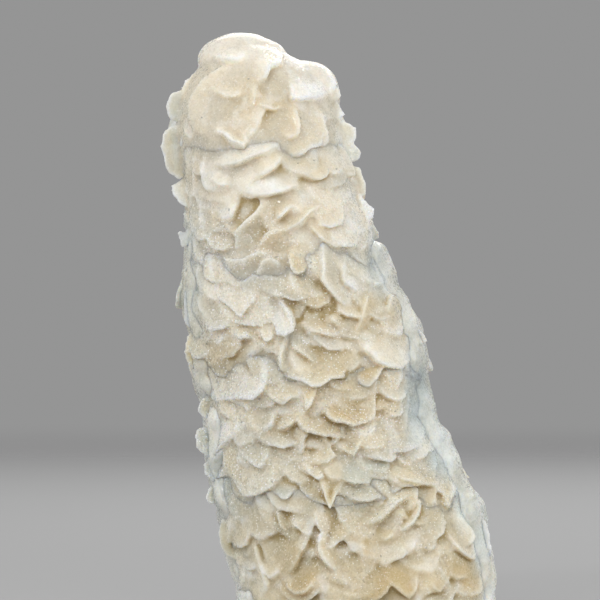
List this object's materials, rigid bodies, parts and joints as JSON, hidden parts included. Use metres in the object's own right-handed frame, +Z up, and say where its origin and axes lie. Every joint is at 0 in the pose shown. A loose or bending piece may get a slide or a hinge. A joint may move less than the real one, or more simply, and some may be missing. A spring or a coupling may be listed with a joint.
{
  "type": "quartz specimen",
  "caption": "Leaning column of milky quartz overgrown with thin leafy blades, smooth blue-grey chalcedony at its edges and back, standing on a flat sawn foot.",
  "frame": {"origin": "centre of the column on its flat sawn foot", "axes": "+Z up the specimen, -Y towards its leafy front, +X to the right of that front; the column leans towards -X as it rises"},
  "size_m": [0.0757, 0.0469, 0.1326],
  "materials": {
    "quartz_column": "milky translucent drusy quartz, sugary and lightly sparkling, with ochre staining in its hollows and smooth blue-grey chalcedony at its edges"
  },
  "bodies": {
    "root": {"quartz_column": "quartz_column"}
  },
  "joints": []
}
